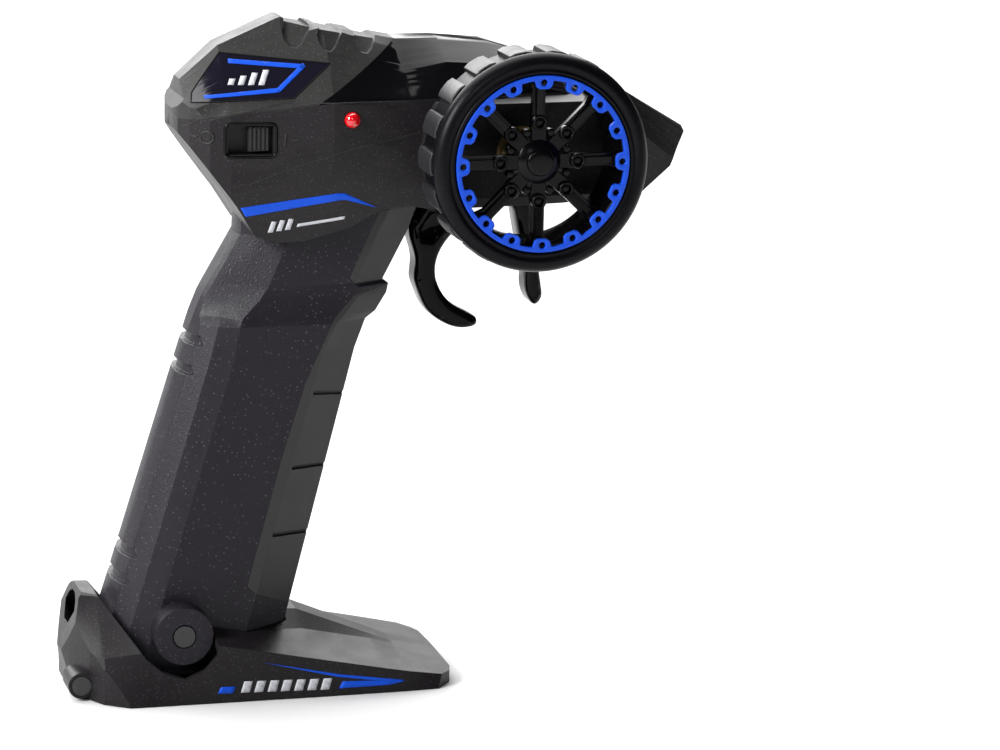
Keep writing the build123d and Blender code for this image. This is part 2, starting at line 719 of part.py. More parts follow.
SPRING_FOOT = DOOR_LIFT + DOOR_THICK + 1.1
with BuildPart() as contact_springs:
    for spot in CELL_SPOTS:
        top_x, top_z = along_stack(CELL_START - 0.9, spot)
        foot = (top_x - 1.2, 0, SPRING_FOOT)
        add(coil(foot, (0, 0, 1), 3.6, 0.35, 2.2, top_z - 1.6 - SPRING_FOOT))
save(contact_springs.part, "contact_springs")


# ---- Steering wheel -----------------------------------------------------------------------
wheel_axis = Axis((WHEEL_X, 0, WHEEL_Z), (0, 1, 0))
wheel_plane = Plane(origin=(WHEEL_X, 0, WHEEL_Z), x_dir=(1, 0, 0), z_dir=(0, 0, 1))


def around_wheel(y):
    """A drawing plane square to the wheel's axis, centred on it."""
    return Plane(origin=(WHEEL_X, y, WHEEL_Z), x_dir=(1, 0, 0), z_dir=(0, -1, 0))


with BuildPart() as tyre:
    with BuildSketch(wheel_plane):
        with BuildLine():
            Line((RIM_R, WHEEL_BACK), (RIM_R, WHEEL_FACE + 1.0))
            Spline(
                (RIM_R, WHEEL_FACE + 1.0),
                (24.8, WHEEL_FACE),
                (SHOULDER_R, WHEEL_FACE + 2.8),
                (TYRE_R, WHEEL_FACE + 5.0),
            )
            Line((TYRE_R, WHEEL_FACE + 5.0), (TYRE_R, WHEEL_BACK - 2.0))
            Line((TYRE_R, WHEEL_BACK - 2.0), (TYRE_R - 1.4, WHEEL_BACK))
            Line((TYRE_R - 1.4, WHEEL_BACK), (RIM_R, WHEEL_BACK))
        make_face()
    revolve(axis=wheel_axis)
    with BuildSketch(around_wheel(LUG_FRONT)):
        with PolarLocations(0, LUG_COUNT):
            with Locations((LUG_R - 1.3, 0)):
                Rectangle(2.6, LUG_WIDE)
    extrude(amount=LUG_FRONT - (WHEEL_BACK - 1.6))
save(tyre.part, "tyre")

with BuildPart() as wheel_rim:
    with BuildSketch(around_wheel(RIM_FACE)):
        Circle(RIM_R)
        Circle(RIM_BORE_R, mode=Mode.SUBTRACT)
    extrude(amount=RIM_FACE - (WHEEL_BACK - 0.4))
    with BuildSketch(around_wheel(SPOKE_FACE)):
        Circle(HUB_R)
        with PolarLocations(0, SPOKE_COUNT):
            with Locations((RIM_BORE_R / 2 + 0.5, 0)):
                Rectangle(RIM_BORE_R, 3.4)
    extrude(amount=SPOKE_FACE - SPOKE_BACK)
    with BuildSketch(around_wheel(SPOKE_FACE - 0.9)):
        with PolarLocations(BOLT_CIRCLE_R, SPOKE_COUNT):
            Circle(1.9)
    extrude(amount=-1.2)
    with BuildSketch(around_wheel(SPOKE_BACK)):
        Circle(HUB_R)
    extrude(amount=SPOKE_BACK + 30.4)
    with BuildSketch(around_wheel(RIM_FACE)):
        with PolarLocations(0, RING_TABS):
            with Locations((20.2, 0)):
                Rectangle(2.6, 3.6)
    extrude(amount=-1.6)
    add(bar(WHEEL_X, WHEEL_Z, 3.1, SPOKE_FACE - 1.0, SPOKE_FACE + 1.6), mode=Mode.SUBTRACT)
    add(bar(WHEEL_X, WHEEL_Z, 1.4, SPOKE_FACE, SPOKE_FACE + 4.0), mode=Mode.SUBTRACT)
    add(bar(WHEEL_X, WHEEL_Z, SHAFT_R, SPOKE_FACE + 2.8, -30.0), mode=Mode.SUBTRACT)
save(wheel_rim.part, "wheel_rim")

with BuildPart() as bead_ring:
    with BuildSketch(around_wheel(WHEEL_FACE - 0.1)):
        Circle(RING_OUT_R)
        Circle(RING_IN_R, mode=Mode.SUBTRACT)
        with PolarLocations(0, RING_TABS):
            with Locations((0, 0)):
                Polygon(
                    (RING_IN_R + 0.4, -2.6),
                    (RING_IN_R + 0.4, 2.6),
                    (TAB_REACH_R + 0.5, 1.9),
                    (TAB_REACH_R, 1.1),
                    (TAB_REACH_R, -1.1),
                    (TAB_REACH_R + 0.5, -1.9),
                    align=None,
                )
            with Locations((20.5, 0)):
                Circle(0.85, mode=Mode.SUBTRACT)
    extrude(amount=WHEEL_FACE - 0.1 - RIM_FACE)
save(bead_ring.part, "bead_ring")

with BuildPart() as centre_cap:
    with BuildSketch(around_wheel(SPOKE_FACE - 1.6)):
        Circle(3.5)
    extrude(amount=-0.6)
    with BuildSketch(around_wheel(SPOKE_FACE - 1.0)):
        Circle(3.05)
    extrude(amount=-1.2)
    fillet(centre_cap.edges().group_by(Axis.Y)[0], 0.4)
save(centre_cap.part, "centre_cap")

with BuildPart() as wheel_screw:
    add(bar(WHEEL_X, WHEEL_Z, 2.6, SPOKE_FACE + 0.5, SPOKE_FACE + 1.6))
    add(bar(WHEEL_X, WHEEL_Z, 1.3, SPOKE_FACE + 1.6, SPOKE_FACE + 9.0))
save(wheel_screw.part, "wheel_screw")

with BuildPart() as wheel_shaft:
    add(bar(WHEEL_X, WHEEL_Z, SHAFT_R, SPOKE_FACE + 2.8, -10.0))
    add(bar(WHEEL_X, WHEEL_Z, 1.3, SPOKE_FACE + 2.8, SPOKE_FACE + 10.0), mode=Mode.SUBTRACT)
save(wheel_shaft.part, "wheel_shaft")

with BuildPart() as wheel_bushing:
    add(bar(WHEEL_X, WHEEL_Z, 6.4, POD_FACE - 0.6, POD_FACE))
    add(bar(WHEEL_X, WHEEL_Z, BUSH_R, POD_FACE, -21.4))
    add(bar(WHEEL_X, WHEEL_Z, SHAFT_R + FIT, -40.0, -20.0), mode=Mode.SUBTRACT)
save(wheel_bushing.part, "wheel_bushing")

with BuildPart() as return_arm:
    add(bar(WHEEL_X, WHEEL_Z, 5.4, -20.6, -17.6))
    add(block(WHEEL_X - 1.6, WHEEL_X + 1.6, WHEEL_Z - 8.6, WHEEL_Z, -20.6, -17.6))
    add(bar(WHEEL_X, WHEEL_Z, SHAFT_R, -22.0, -16.0), mode=Mode.SUBTRACT)
save(return_arm.part, "return_arm")

save(coil((WHEEL_X, -26.6, WHEEL_Z), (0, 1, 0), 6.0, 0.45, 1.3, 4.6), "steering_spring")


def sensor(x, z, bore, y_ear, y_end):
    """A round rotary sensor with two ears, its bore along Y."""
    ear_step = 1.2 if y_end > y_ear else -1.2
    with BuildPart() as unit:
        add(bar(x, z, SENSOR_R, y_ear, y_end))
        add(block(x - EAR_REACH - 2.0, x + EAR_REACH + 2.0, z - 2.2, z + 2.2, y_ear, y_ear + ear_step))
        add(bar(x, z, bore, -SPAN, SPAN), mode=Mode.SUBTRACT)
    return unit.part


save(sensor(WHEEL_X, WHEEL_Z, SHAFT_R + FIT, -STEER_SENSOR_EAR, -10.6), "steering_sensor")


# ---- Trigger ------------------------------------------------------------------------------
with BuildPart() as trigger:
    with BuildSketch(Plane.XZ.offset(-TRIGGER_HALF)):
        with BuildLine():
            Spline(*HOOK_REAR, HOOK_TIP[0], HOOK_TIP[1])
            ThreePointArc(*HOOK_TIP[1:])
            Spline(HOOK_TIP[-1], *HOOK_FRONT)
            Polyline(HOOK_FRONT[-1], *ARCH)
            Spline(ARCH[-1], *PRONG, ARCH_TOP[0])
            Polyline(ARCH_TOP[0], *ARCH_TOP[1:], HOOK_REAR[0])
        make_face()
    extrude(amount=2 * TRIGGER_HALF)
    for side in (-1, 1):
        add(slab(HOOK_POCKET, side * (TRIGGER_HALF - 1.2), side * SPAN), mode=Mode.SUBTRACT)
        add(bar(PIVOT_X, PIVOT_Z, SLEEVE_R, 0.0, side * 10.6))
    add(bar(PIVOT_X, PIVOT_Z, PIN_R + FIT, -SPAN, SPAN), mode=Mode.SUBTRACT)
save(trigger.part, "trigger")

save(bar(PIVOT_X, PIVOT_Z, PIN_R, -15.5, 15.5), "trigger_pin")
with BuildPart() as throttle_sensor:
    add(sensor(PIVOT_X, PIVOT_Z, SLEEVE_R + FIT, THROTTLE_SENSOR_EAR, 5.4))
    add(block(-SPAN, 2 * SPAN, 127.5, 160.0), mode=Mode.INTERSECT)
save(throttle_sensor.part, "throttle_sensor")
save(coil((PIVOT_X, -9.8, PIVOT_Z), (0, 1, 0), 3.6, 0.35, 1.1, 3.6), "trigger_spring")


# ---- Switch, lamp, board and trim dial ----------------------------------------------------
SWITCH_BODY_FACE = -14.8
with BuildPart() as power_switch:
    add(block(SWITCH_X - 8.0, SWITCH_X + 8.0, SWITCH_Z - 5.4, SWITCH_Z + 5.4, SWITCH_BODY_FACE, -9.6))
    for pin_x in (SWITCH_X - 4.0, SWITCH_X, SWITCH_X + 4.0):
        add(block(pin_x - 0.6, pin_x + 0.6, SWITCH_Z - 0.4, SWITCH_Z + 0.4, -9.6, -6.0))
save(power_switch.part, "power_switch")

knob_x = SWITCH_X + SWITCH_TRAVEL / 2
with BuildPart() as power_switch_knob:
    knob_back = SWITCH_BODY_FACE - 0.05
    add(block(knob_x - 2.6, knob_x + 2.6, SWITCH_Z - 3.1, SWITCH_Z + 3.1, knob_back, -17.2))
    for rib in range(5):
        rib_x = knob_x - 2.2 + 1.1 * rib
        add(block(rib_x - 0.3, rib_x + 0.3, SWITCH_Z - 2.9, SWITCH_Z + 2.9, -17.2, -17.9))
save(power_switch_knob.part, "power_switch_knob")

with BuildPart() as lamp:
    add(bar(LAMP_X, LAMP_Z, LAMP_R - 0.05, -17.0, -22.4))
    with Locations((LAMP_X, -22.4, LAMP_Z)):
        Sphere(LAMP_R - 0.05)
    add(bar(LAMP_X, LAMP_Z, 2.8, -17.0, -18.4))
save(lamp.part, "power_lamp")

with BuildPart() as main_board:
    add(block(BOARD_REAR, BOARD_FRONT, BOARD_LOW, BOARD_HIGH, BOARD_FACE - BOARD_THICK, BOARD_FACE))
    for x in BOARD_POSTS:
        add(bar(x, BOARD_LOW + 3.0, 1.0, -SPAN, SPAN), mode=Mode.SUBTRACT)
    chip_y = BOARD_FACE - BOARD_THICK
    for x, z, long, high, tall in CHIPS:
        add(block(x - long / 2, x + long / 2, z - high / 2, z + high / 2, chip_y, chip_y - tall))
save(main_board.part, "main_board")

with BuildPart() as radio_module:
    face = BOARD_FACE - BOARD_THICK
    add(block(17.0, 33.0, 149.0, 160.0, face, face - 1.0))
    add(block(19.0, 29.0, 150.5, 158.5, face - 1.0, face - 2.8))
save(radio_module.part, "radio_module")

with BuildPart() as antenna_lead:
    with BuildLine():
        lead_route = [(18.0, -0.6, 158.0), (18.0, -4.0, 158.0), (18.0, -4.0, 165.0), (-4.0, -4.0, 165.0)]
        FilletPolyline(*lead_route, radius=1.5)
    with BuildSketch(Plane(origin=(18.0, -0.6, 158.0), z_dir=(0, -1, 0))):
        Circle(0.6)
    sweep()
save(antenna_lead.part, "antenna_lead")

with BuildPart() as trim_dial:
    add(bar(DIAL_X, DIAL_Z, DIAL_R, DIAL_SEAT + 0.4, DIAL_TOP))
    chamfer(trim_dial.edges().group_by(Axis.Y)[-1], 0.8)
    with BuildSketch(Plane(origin=(DIAL_X, DIAL_SEAT, DIAL_Z), x_dir=(1, 0, 0), z_dir=(0, 1, 0))):
        with PolarLocations(DIAL_R + 0.25, 24):
            Circle(0.6)
    extrude(amount=DIAL_TOP - DIAL_SEAT, mode=Mode.SUBTRACT)
    pointer = block(DIAL_X - 0.6, DIAL_X + 0.6, DIAL_Z, DIAL_Z + 6.0, DIAL_TOP - 0.5, SPAN)
    add(pointer, mode=Mode.SUBTRACT)
    add(bar(DIAL_X, DIAL_Z, DIAL_SHAFT_R, 12.4, DIAL_SEAT + 0.4))
save(trim_dial.part, "trim_dial")

with BuildPart() as trim_sensor:
    add(bar(DIAL_X, DIAL_Z, 6.4, 12.0, DIAL_SEAT - WALL))
    add(bar(DIAL_X, DIAL_Z, DIAL_SHAFT_R + FIT, -SPAN, SPAN), mode=Mode.SUBTRACT)
save(trim_sensor.part, "trim_sensor")


# ---- Fasteners ----------------------------------------------------------------------------
with BuildPart() as housing_screws:
    for x, z, seat in HEAD_SCREWS + GRIP_SCREWS:
        add(bar(x, z, SCREW_HEAD_R, seat, seat + 1.8))
        add(bar(x, z, SCREW_R, -8.5, seat))
        add(bar(x, z, 0.9, seat + 1.0, seat + 3.0), mode=Mode.SUBTRACT)
save(housing_screws.part, "housing_screws")

with BuildPart() as knuckle_bolts:
    for side in (-1, 1):
        seat = side * (KNUCKLE_FACE - 1.4)
        add(bar(KNUCKLE_X, KNUCKLE_Z, BOLT_HEAD_R, seat, side * (KNUCKLE_FACE + 0.2)))
        add(bar(KNUCKLE_X, KNUCKLE_Z, BOLT_SHANK_R, side * 15.5, seat))
save(knuckle_bolts.part, "knuckle_bolts")

with BuildPart() as rear_bolt:
    seat = REAR_BOLT_FACE + 1.2
    add(bar(REAR_BOLT_X, REAR_BOLT_Z, REAR_BOLT_R, seat, REAR_BOLT_FACE - 0.3))
    add(bar(REAR_BOLT_X, REAR_BOLT_Z, BOLT_SHANK_R, -12.5, seat))
save(rear_bolt.part, "rear_bolt")
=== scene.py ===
import math

import bmesh
import bpy
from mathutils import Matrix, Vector
from mathutils.bvhtree import BVHTree


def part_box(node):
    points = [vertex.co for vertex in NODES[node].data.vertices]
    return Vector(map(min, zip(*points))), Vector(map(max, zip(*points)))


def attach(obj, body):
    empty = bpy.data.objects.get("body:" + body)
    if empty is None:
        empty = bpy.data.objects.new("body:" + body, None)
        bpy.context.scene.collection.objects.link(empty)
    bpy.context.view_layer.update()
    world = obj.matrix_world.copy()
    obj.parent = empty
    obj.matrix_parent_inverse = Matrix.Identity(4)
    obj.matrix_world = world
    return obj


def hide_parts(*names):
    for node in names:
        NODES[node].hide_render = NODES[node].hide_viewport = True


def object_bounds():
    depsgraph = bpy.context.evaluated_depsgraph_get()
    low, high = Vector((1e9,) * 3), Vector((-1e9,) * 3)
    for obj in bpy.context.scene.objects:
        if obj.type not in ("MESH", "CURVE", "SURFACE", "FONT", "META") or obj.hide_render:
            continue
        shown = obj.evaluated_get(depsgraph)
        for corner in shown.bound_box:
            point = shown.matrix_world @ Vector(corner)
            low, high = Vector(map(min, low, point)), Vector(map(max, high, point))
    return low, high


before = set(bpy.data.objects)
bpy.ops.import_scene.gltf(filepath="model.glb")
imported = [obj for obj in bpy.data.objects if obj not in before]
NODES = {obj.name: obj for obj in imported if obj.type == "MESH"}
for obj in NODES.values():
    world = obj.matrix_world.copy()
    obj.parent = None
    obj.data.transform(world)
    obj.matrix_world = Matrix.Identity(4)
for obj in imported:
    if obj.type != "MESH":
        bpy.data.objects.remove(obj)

# Pistol-grip radio transmitter, in metres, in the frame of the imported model.
# Shapes are written in millimetres and turned into metres by MM. Lights, camera and floor are in
# metres.
cad_low, cad_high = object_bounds()
MM = 0.001


# ---- Materials ------------------------------------------------------------------------------
def new_material(name):
    """An empty node material with a Principled shader, and the parts that every finish uses."""
    material = bpy.data.materials.new(name)
    material.use_nodes = True
    nodes = material.node_tree.nodes
    links = material.node_tree.links
    shader = nodes["Principled BSDF"]
    place = nodes.new("ShaderNodeTexCoord").outputs["Object"]
    return material, nodes, links, shader, place


def noise(nodes, links, place, scale, detail=3.0, rough=0.55):
    """A noise texture's value, at so many features in a metre."""
    texture = nodes.new("ShaderNodeTexNoise")
    texture.inputs["Scale"].default_value = scale
    texture.inputs["Detail"].default_value = detail
    texture.inputs["Roughness"].default_value = rough
    links.new(place, texture.inputs["Vector"])
    return texture.outputs["Fac"]


def remap(nodes, links, value, low, high, to_low, to_high):
    """The value stretched from one range to another, and held inside it."""
    node = nodes.new("ShaderNodeMapRange")
    node.inputs["From Min"].default_value = low
    node.inputs["From Max"].default_value = high
    node.inputs["To Min"].default_value = to_low
    node.inputs["To Max"].default_value = to_high
    links.new(value, node.inputs["Value"])
    return node.outputs["Result"]


def mix_colour(nodes, links, factor, colour_a, colour_b):
    """A blend of two colours, each a socket or an (r, g, b)."""
    node = nodes.new("ShaderNodeMix")
    node.data_type = "RGBA"
    links.new(factor, node.inputs["Factor"])
    for name, colour in (("A", colour_a), ("B", colour_b)):
        socket = [s for s in node.inputs if s.name == name and s.type == "RGBA"][0]
        if isinstance(colour, bpy.types.NodeSocket):
            links.new(colour, socket)
        else:
            socket.default_value = (*colour, 1.0)
    return [s for s in node.outputs if s.type == "RGBA"][0]


def moulded(name, colour, rough, grain=0.30, depth=0.03, speckle=0.0, wear=0.10, coat=0.0,
            tint=(1.0, 1.0, 1.0), spread=0.12, round_edges=0.0, metal=0.0, specular=0.5):
    """Moulded plastic, rubber or metal. Grain, depth and round_edges are in mm; speckle, wear and
    spread run from 0 to 1."""
    material, nodes, links, shader, place = new_material(name)
    drift = noise(nodes, links, place, 45.0, 2.0)
    dark = tuple(c * (1 - spread) for c in colour)
    light = tuple(c * t * (1 + spread) for c, t in zip(colour, tint))
    shade = mix_colour(nodes, links, drift, dark, light)
    fine = noise(nodes, links, place, 1.0 / (grain * MM), 2.5)
    if speckle:
        dots = nodes.new("ShaderNodeTexVoronoi")
        dots.inputs["Scale"].default_value = 0.36 / (grain * MM)
        links.new(place, dots.inputs["Vector"])
        spots = remap(nodes, links, dots.outputs["Distance"], 0.04, 0.20, speckle, 0.0)
        bright = tuple(min(1.0, c * 3.0 + 0.060) for c in colour)
        shade = mix_colour(nodes, links, spots, shade, bright)
    if wear:
        edge = nodes.new("ShaderNodeNewGeometry").outputs["Pointiness"]
        worn = remap(nodes, links, edge, 0.52, 0.60, 0.0, wear)
        rubbed = tuple(min(1.0, c * 3.0 + 0.04) for c in colour)
        shade = mix_colour(nodes, links, worn, shade, rubbed)
    links.new(shade, shader.inputs["Base Color"])
    smudge = noise(nodes, links, place, 130.0, 4.0)
    links.new(remap(nodes, links, smudge, 0.3, 0.7, max(0.03, rough - 0.05), rough + 0.06),
              shader.inputs["Roughness"])
    bump = nodes.new("ShaderNodeBump")
    bump.inputs["Strength"].default_value = 1.0
    bump.inputs["Distance"].default_value = depth * MM
    links.new(fine, bump.inputs["Height"])
    if round_edges:
        bevel = nodes.new("ShaderNodeBevel")
        bevel.samples = 6
        bevel.inputs["Radius"].default_value = round_edges * MM
        links.new(bevel.outputs["Normal"], bump.inputs["Normal"])
    links.new(bump.outputs["Normal"], shader.inputs["Normal"])
    shader.inputs["Metallic"].default_value = metal
    shader.inputs["Specular IOR Level"].default_value = specular
    shader.inputs["Coat Weight"].default_value = coat
    shader.inputs["Coat Roughness"].default_value = 0.04
    return material


FINISH = {
    "shell_black": moulded("shell_black", (0.0092, 0.0080, 0.0090), 0.42, 0.30, 0.035, 0.8, 0.05,
                           tint=(1.0, 0.97, 1.02), round_edges=0.15, specular=0.19),
    "cover_black": moulded("cover_black", (0.0130, 0.0122, 0.0118), 0.44, 0.32, 0.045, 0.9, 0.07,
                           round_edges=0.15, specular=0.28),
    "grip_black": moulded("grip_black", (0.0085, 0.0072, 0.0105), 0.44, 0.45, 0.090, 0.9, 0.04,
                          tint=(1.05, 0.95, 1.15), round_edges=0.35, specular=0.24),
    "insert_grey": moulded("insert_grey", (0.0240, 0.0243, 0.0240), 0.42, 0.24, 0.020, 0.2, 0.06,
                           round_edges=0.2, specular=0.26),
    "gloss_black": moulded("gloss_black", (0.0030, 0.0028, 0.0036), 0.09, 2.5, 0.0010, 0.0, 0.0,
                           specular=0.09),
    "badge_gloss": moulded("badge_gloss", (0.0060, 0.0056, 0.0110), 0.12, 0.9, 0.002, 0.0, 0.02,
                           round_edges=0.2, specular=0.40),
    "trigger_gloss": moulded("trigger_gloss", (0.0014, 0.0013, 0.0018), 0.14, 0.8, 0.004, 0.0, 0.02,
                             specular=0.09),
    "tyre_rubber": moulded("tyre_rubber", (0.0018, 0.0016, 0.0026), 0.34, 0.35, 0.022, 0.15, 0.03,
                           tint=(1.0, 0.95, 1.10), round_edges=0.2, specular=0.10),
    # lug_rubber is lighter than tyre_rubber, a painted highlight for the lit tops of the lugs, which
    # are the same rubber as the carcass.
    "lug_rubber": moulded("lug_rubber", (0.0075, 0.0070, 0.0085), 0.42, 0.35, 0.030, 0.4, 0.20,
                          round_edges=0.2, specular=0.30),
    "rim_black": moulded("rim_black", (0.0012, 0.0011, 0.0016), 0.20, 0.5, 0.004, 0.0, 0.02,
                         specular=0.14),
    "ring_blue": moulded("ring_blue", (0.0050, 0.0620, 0.5600), 0.34, 0.30, 0.006, 0.0, 0.10,
                         round_edges=0.15, specular=0.20),
    "knob_black": moulded("knob_black", (0.0080, 0.0080, 0.0085), 0.34, 0.30, 0.012, 0.1, 0.16,
                          specular=0.35),
    "bay_black": moulded("bay_black", (0.010, 0.010, 0.010), 0.50, 0.30, 0.020, 0.2, 0.06,
                         specular=0.25),
    "board_green": moulded("board_green", (0.010, 0.085, 0.030), 0.35, 0.60, 0.010, 0.1, 0.10),
    "sensor_grey": moulded("sensor_grey", (0.055, 0.055, 0.060), 0.45, 0.30, 0.015, 0.2, 0.10),
    "cell_jacket": moulded("cell_jacket", (0.020, 0.110, 0.050), 0.25, 0.80, 0.006, 0.0, 0.06,
                           coat=0.3),
    "lead_black": moulded("lead_black", (0.010, 0.010, 0.010), 0.45, 0.20, 0.010, 0.0, 0.05),
    "steel": moulded("steel", (0.42, 0.42, 0.43), 0.28, 0.25, 0.006, 0.0, 0.10, metal=1.0),
    "bearing_brass": moulded("bearing_brass", (0.50, 0.33, 0.12), 0.30, 0.25, 0.006, 0.0, 0.10,
                             metal=1.0),
    "screw_black": moulded("screw_black", (0.022, 0.022, 0.024), 0.32, 0.20, 0.008, 0.0, 0.20,
                           metal=0.6),
    "bolt_black": moulded("bolt_black", (0.014, 0.014, 0.015), 0.30, 0.25, 0.012, 0.2, 0.16,
                          specular=0.35),
    "print_blue": moulded("print_blue", (0.0050, 0.0660, 0.5400), 0.45, 0.24, 0.012, 0.0, 0.0,
                          specular=0.15),
    "print_white": moulded("print_white", (0.46, 0.47, 0.50), 0.45, 0.24, 0.010, 0.0, 0.0,
                           specular=0.2),
    # Near-black, for the painted shade in the gap round the badge panel.
    "painted_gap_shade": moulded("painted_gap_shade", (0.0020, 0.0020, 0.0020), 0.60, 0.30, 0.010, 0.0, 0.0,
                           specular=0.1),
}


def lamp_material():
    """Clear red lens with a brighter core, and a painted glow: a weak red emission, though the lamp is
    not lit.
    """
    material, nodes, links, shader, place = new_material("lamp_red")
    swirl = noise(nodes, links, place, 900.0, 2.0)
    links.new(mix_colour(nodes, links, swirl, (0.30, 0.000, 0.002), (0.75, 0.004, 0.008)),
              shader.inputs["Base Color"])
    links.new(remap(nodes, links, swirl, 0.3, 0.7, 0.08, 0.16), shader.inputs["Roughness"])
    # Painted glow: the lens emits a weak red light, though the lamp is not lit.
    links.new(mix_colour(nodes, links, swirl, (0.20, 0.0, 0.001), (0.55, 0.003, 0.006)),
              shader.inputs["Emission Color"])
    shader.inputs["Emission Strength"].default_value = 0.22
    shader.inputs["Coat Weight"].default_value = 1.0
    shader.inputs["Coat Roughness"].default_value = 0.03
    return material


FINISH["lamp_red"] = lamp_material()

SLOTS = {
    "head_shell_right": "shell_black", "head_shell_left": "shell_black",
    "top_cover": "cover_black", "bridge_cover": "gloss_black",
    "badge_panel_right": "badge_gloss", "badge_panel_left": "badge_gloss",
    "power_lamp": "lamp_red", "power_switch": "bay_black", "power_switch_knob": "knob_black",
    "main_board": "board_green", "radio_module": "steel", "antenna_lead": "lead_black",
    "wheel_bushing": "bearing_brass", "steering_sensor": "sensor_grey",
    "steering_spring": "steel", "throttle_sensor": "sensor_grey", "trigger_pin": "steel",
    "trigger_spring": "steel", "trim_sensor": "sensor_grey", "trim_dial": "knob_black",
    "grip_shell_right": "grip_black", "grip_shell_left": "grip_black",
    "neck_front_cover": "insert_grey", "grip_front_cover": "insert_grey",
    "base_shell_right": "shell_black", "base_shell_left": "shell_black",
    "base_plate": "bay_black", "battery_bay": "bay_black", "battery_cells": "cell_jacket",
    "battery_door": "bay_black", "bridge_contact": "steel", "contact_springs": "steel",
    "terminal_plates": "steel", "housing_screws": "screw_black", "knuckle_bolts": "bolt_black",
    "rear_bolt": "bolt_black", "tyre": "tyre_rubber", "wheel_rim": "rim_black",
    "bead_ring": "ring_blue", "centre_cap": "rim_black", "wheel_screw": "screw_black",
    "wheel_shaft": "steel", "return_arm": "bay_black", "trigger": "gloss_black",
}
for node, finish in SLOTS.items():
    data = NODES[node].data
    data.materials.clear()
    data.materials.append(FINISH[finish])


# ---- Mesh helpers ---------------------------------------------------------------------------
FLAT_ENOUGH = 0.6  # degrees of turn that are dissolved into one face
CRISP_FROM = 5.0  # degrees of turn from which an edge is kept crisp
PRINT_LIFT = 0.06  # how far a print stands proud
PRINT_CELL = 1.2  # the longest edge in a print
RAY_START = -0.09  # in metres: a y outside the object on the right
NO_SURFACE_Y = -0.02  # in metres: where a print goes if it meets no surface


def piece(name, mesh, body, finish):
    """A new object of the model, made of the mesh, that moves with the body."""
    made = bpy.data.objects.new(name, mesh)
    bpy.context.scene.collection.objects.link(made)
    made.data.materials.clear()
    made.data.materials.append(FINISH[finish])
    if made.type == "MESH":
        for face in mesh.polygons:
            face.use_smooth = True
    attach(made, body)
    return made


def bevel(made, width, segments=3, angle=28.0):
    """Rounded edges, with shading that keeps the flats flat."""
    rounding = made.modifiers.new("Rounding", "BEVEL")
    rounding.width = width * MM
    rounding.segments = segments
    rounding.limit_method = "ANGLE"
    rounding.angle_limit = math.radians(angle)
    rounding.use_clamp_overlap = True
    rounding.harden_normals = False
    rounding.miter_outer = "MITER_ARC"
    weighted = made.modifiers.new("Shading", "WEIGHTED_NORMAL")
    weighted.keep_sharp = True
    weighted.weight = 60


def refined(node, body, width, segments=3, angle=28.0, finish=None, faceted=True):
    """A copy of a CAD node's mesh, rounded over a width in mm where it turns by more than the angle.
    It stands for the node. Faceted means that its shallower edges stay crisp."""
    mesh = NODES[node].data.copy()
    work = bmesh.new()
    work.from_mesh(mesh)
    bmesh.ops.remove_doubles(work, verts=work.verts, dist=2e-6)
    bmesh.ops.dissolve_limit(work, angle_limit=math.radians(FLAT_ENOUGH), verts=work.verts,
                             edges=work.edges)
    bmesh.ops.triangulate(work, faces=[f for f in work.faces if len(f.verts) > 4])
    creases = []
    for index, edge in enumerate(work.edges):
        turn = math.degrees(edge.calc_face_angle(0.0))
        if faceted and CRISP_FROM < turn < angle:
            creases.append(index)
    work.to_mesh(mesh)
    work.free()
    made = piece(node + "_skin", mesh, body, finish or SLOTS[node])
    for index in creases:
        mesh.edges[index].use_edge_sharp = True
    if width:
        bevel(made, width, segments, angle)
    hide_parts(node)
    return made


def roll_edges(mesh, radius, below):
    """Rounds the outline of a flat part over a radius in mm, below a height in metres."""
    work = bmesh.new()
    work.from_mesh(mesh)
    half = max(abs(v.co.y) for v in work.verts if v.co.z < below)
    for share in (0.0, 0.45, 0.75, 0.93):
        for side in (-1, 1):
            cut = side * (half - radius * MM * (1 - share))
            bmesh.ops.bisect_plane(work, geom=work.verts[:] + work.edges[:] + work.faces[:],
                                   plane_co=(0, cut, 0), plane_no=(0, 1, 0))
    work.normal_update()
    moves = []
    for vert in work.verts:
        reach = abs(vert.co.y) / MM - (half / MM - radius)
        walls = [f.normal for f in vert.link_faces if abs(f.normal.y) < 0.5]
        if reach > 0 and walls and vert.co.z < below:
            outward = sum(walls, Vector())
            outward.y = 0
            drop = radius - math.sqrt(max(0.0, radius ** 2 - reach ** 2))
            moves.append((vert, outward.normalized() * drop * MM))
    for vert, move in moves:
        vert.co -= move
    bmesh.ops.triangulate(work, faces=work.faces)
    work.to_mesh(mesh)
    work.free()


def tree_of(*names):
    """A ray-casting tree over CAD nodes."""
    points = []
    faces = []
    for name in names:
        mesh = NODES[name].data
        start = len(points)
        points.extend(v.co.copy() for v in mesh.vertices)
        faces.extend(tuple(start + i for i in f.vertices) for f in mesh.polygons)
    return BVHTree.FromPolygons(points, faces)


RIGHT_SIDE = tree_of("head_shell_right", "top_cover", "bridge_cover", "badge_panel_right",
                     "grip_shell_right", "grip_front_cover", "neck_front_cover",
                     "base_shell_right", "knuckle_bolts")


def on_side(x, z, lift=0.0):
    """The point on the right-hand surface at an x and z in mm, or None beside the object."""
    hit, _, _, _ = RIGHT_SIDE.ray_cast(Vector((x * MM, RAY_START, z * MM)), Vector((0, 1, 0)))
    if hit is None:
        return None
    return hit + Vector((0, -lift * MM, 0))


